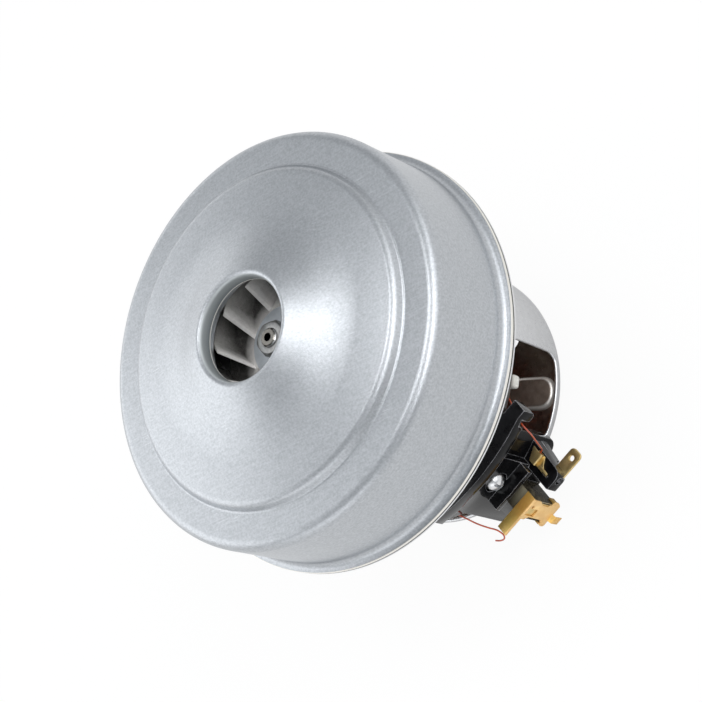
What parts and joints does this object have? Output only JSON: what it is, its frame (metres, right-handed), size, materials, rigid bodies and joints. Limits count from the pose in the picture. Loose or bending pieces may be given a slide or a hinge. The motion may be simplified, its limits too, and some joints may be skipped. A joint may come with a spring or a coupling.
{
  "type": "vacuum cleaner motor unit",
  "caption": "Vacuum motor unit: windowed steel motor can with carbon brush holders, a shaft-driven fan under a stepped steel cover and a round air inlet.",
  "frame": {"origin": "on the shaft axis, at the end face of the rear bearing boss that the unit stands on", "axes": "+Z along the shaft towards the air inlet, +X towards brush holder a"},
  "size_m": [0.135, 0.135, 0.1189],
  "materials": {
    "cover_steel": "galvanised, satin",
    "can_steel": "galvanised, satin",
    "bracket_steel": "satin",
    "screw_steel": "zinc plated",
    "bearing_steel": "ground",
    "spring_steel": "drawn wire",
    "lamination": "varnished sheet stack",
    "copper": "drawn copper",
    "enamel_wire": "red-brown enamel",
    "cap_copper": "copper plated strip",
    "brass": "stamped strip",
    "bakelite": "glossy moulding",
    "insulator": "moulded",
    "carbon": "pressed carbon",
    "phenolic": "moulded",
    "diffuser_plastic": "moulded",
    "inducer_plastic": "moulded",
    "fan_aluminium": "rolled sheet",
    "washer_steel": "blue-grey plated"
  },
  "bodies": {
    "housing": {"fan_cover": "cover_steel", "motor_can": "can_steel", "front_bracket": "bracket_steel", "bracket_screws": "screw_steel", "diffuser": "diffuser_plastic", "stator_core": "lamination", "holder_screws": "screw_steel", "wave_washer": "spring_steel", "field_coil_a": "enamel_wire", "field_winding_a": "enamel_wire", "coil_insulator_a": "insulator", "brush_holder_a": "bakelite", "brush_tube_a": "brass", "brush_cap_a": "cap_copper", "brush_spring_a": "spring_steel", "terminal_a": "brass", "terminal_wire_a": "enamel_wire", "brush_wire_a": "enamel_wire", "field_coil_b": "enamel_wire", "field_winding_b": "enamel_wire", "coil_insulator_b": "insulator", "brush_holder_b": "bakelite", "brush_tube_b": "brass", "brush_cap_b": "cap_copper", "brush_spring_b": "spring_steel", "terminal_b": "brass", "terminal_wire_b": "enamel_wire", "brush_wire_b": "enamel_wire", "front_outer_ring": "bearing_steel", "front_shields": "spring_steel", "rear_outer_ring": "bearing_steel", "rear_shields": "spring_steel"},
    "rotor": {"shaft": "bearing_steel", "armature_core": "lamination", "armature_winding": "enamel_wire", "commutator_bars": "copper", "commutator_hub": "phenolic", "impeller_spacer": "fan_aluminium", "impeller_plate": "fan_aluminium", "impeller_blades": "fan_aluminium", "impeller_shroud": "fan_aluminium", "inducer": "inducer_plastic", "clamp_washer": "washer_steel", "impeller_nut": "screw_steel", "front_inner_ring": "bearing_steel", "rear_inner_ring": "bearing_steel"},
    "front_cage": {"front_balls": "bearing_steel"},
    "rear_cage": {"rear_balls": "bearing_steel"},
    "brush_a": {"carbon_brush_a": "carbon"},
    "brush_b": {"carbon_brush_b": "carbon"}
  },
  "joints": [
    {"name": "rotor_spin", "type": "hinge", "parent": "housing", "child": "rotor", "pos_m": [0, 0, 0], "axis": [0, 0, 1], "continuous": true},
    {"name": "front_cage_spin", "type": "hinge", "parent": "housing", "child": "front_cage", "pos_m": [0, 0, 0.0725], "axis": [0, 0, 1], "continuous": true},
    {"name": "rear_cage_spin", "type": "hinge", "parent": "housing", "child": "rear_cage", "pos_m": [0, 0, 0.0055], "axis": [0, 0, 1], "continuous": true},
    {"name": "brush_a_slide", "type": "slide", "parent": "housing", "child": "brush_a", "axis": [1, 0, 0], "range_m": [0, 0.006], "stiffness_N_per_m": 100, "springref_m": -0.02, "deforming": ["brush_spring_a"]},
    {"name": "brush_b_slide", "type": "slide", "parent": "housing", "child": "brush_b", "axis": [-1, 0, 0], "range_m": [0, 0.006], "stiffness_N_per_m": 100, "springref_m": -0.02, "deforming": ["brush_spring_b"]}
  ],
  "couplings": [
    {"joint": "front_cage_spin", "follows": "rotor_spin", "ratio": 0.368},
    {"joint": "rear_cage_spin", "follows": "rotor_spin", "ratio": 0.368}
  ]
}
